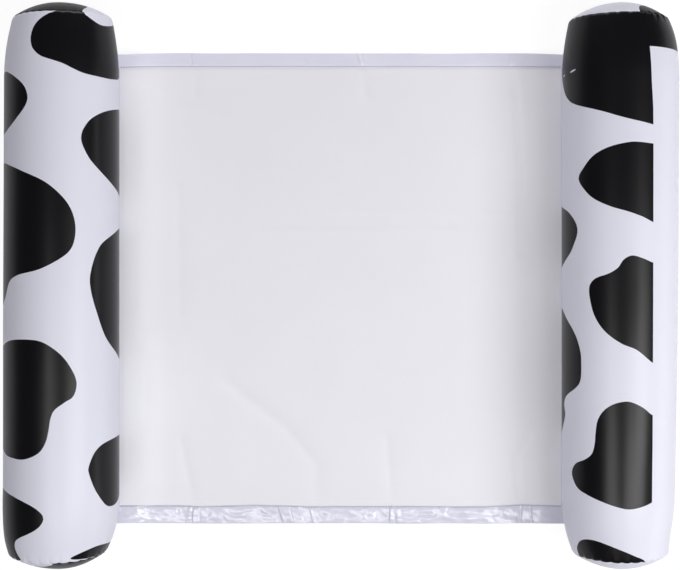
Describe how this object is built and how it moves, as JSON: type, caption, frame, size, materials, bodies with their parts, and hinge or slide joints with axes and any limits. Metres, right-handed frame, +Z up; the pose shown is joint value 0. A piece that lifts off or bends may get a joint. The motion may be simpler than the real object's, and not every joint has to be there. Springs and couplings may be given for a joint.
{
  "type": "inflatable water hammock",
  "caption": "Inflatable water hammock: a mesh sling with sewn hems between parallel air tubes with domed ends, tabs and push-in valves.",
  "frame": {"origin": "middle of the footprint, on the floor that the hammock lies on", "axes": "+X from the left tube to the right tube, +Y along the tubes to the back hem, +Z up"},
  "size_m": [1.1798, 0.9954, 0.1997],
  "materials": {
    "printed_pvc": "satin printed film, white with black spots",
    "pale_pvc": "glossy soft film",
    "edge_tape": "folded binding tape",
    "white_mesh": "fine open knitted mesh",
    "clear_pvc": "clear soft moulding"
  },
  "bodies": {
    "sling": {"mesh_panel": "white_mesh", "hem_front": "pale_pvc", "hem_back": "pale_pvc", "side_tape_left": "edge_tape", "side_tape_right": "edge_tape"},
    "tube_left": {"tube_wall_left": "printed_pvc", "end_disc_left_front": "printed_pvc", "end_disc_left_back": "printed_pvc", "tube_tab_left": "pale_pvc", "valve_flange_left": "clear_pvc"},
    "tube_right": {"tube_wall_right": "printed_pvc", "end_disc_right_front": "printed_pvc", "end_disc_right_back": "printed_pvc", "tube_tab_right": "pale_pvc", "valve_flange_right": "clear_pvc"},
    "stem_left": {"valve_stem_left": "clear_pvc"},
    "stem_right": {"valve_stem_right": "clear_pvc"},
    "cap_left": {"valve_cap_left": "clear_pvc"},
    "cap_right": {"valve_cap_right": "clear_pvc"},
    "flap_left": {"valve_flap_left": "clear_pvc"},
    "flap_right": {"valve_flap_right": "clear_pvc"}
  },
  "joints": [
    {"name": "tube_left_fold", "type": "hinge", "parent": "sling", "child": "tube_left", "pos_m": [-0.40399, 0, 0.03964], "axis": [0, 1, 0], "range_deg": [-90, 90]},
    {"name": "tube_right_fold", "type": "hinge", "parent": "sling", "child": "tube_right", "pos_m": [0.40399, 0, 0.03964], "axis": [0, -1, 0], "range_deg": [-90, 90]},
    {"name": "stem_left_slide", "type": "slide", "parent": "tube_left", "child": "stem_left", "axis": [-0.9135, 0, -0.4067], "range_m": [0, 0.009]},
    {"name": "stem_right_slide", "type": "slide", "parent": "tube_right", "child": "stem_right", "axis": [0.9135, 0, -0.4067], "range_m": [0, 0.009]},
    {"name": "cap_left_hinge", "type": "hinge", "parent": "stem_left", "child": "cap_left", "pos_m": [-0.58314, 0.3185, 0.0584], "axis": [-0.4067, 0, 0.9135], "range_deg": [0, 150]},
    {"name": "cap_right_hinge", "type": "hinge", "parent": "stem_right", "child": "cap_right", "pos_m": [0.58314, -0.3185, 0.0584], "axis": [0.4067, 0, 0.9135], "range_deg": [0, 150]},
    {"name": "flap_left_hinge", "type": "hinge", "parent": "stem_left", "child": "flap_left", "pos_m": [-0.56757, 0.3345, 0.06533], "axis": [-0.4067, 0, 0.9135], "range_deg": [0, 60], "stiffness_Nm_per_rad": 0.00002, "springref_deg": -28.65},
    {"name": "flap_right_hinge", "type": "hinge", "parent": "stem_right", "child": "flap_right", "pos_m": [0.56757, -0.3345, 0.06533], "axis": [0.4067, 0, 0.9135], "range_deg": [0, 60], "stiffness_Nm_per_rad": 0.00002, "springref_deg": -28.65}
  ]
}
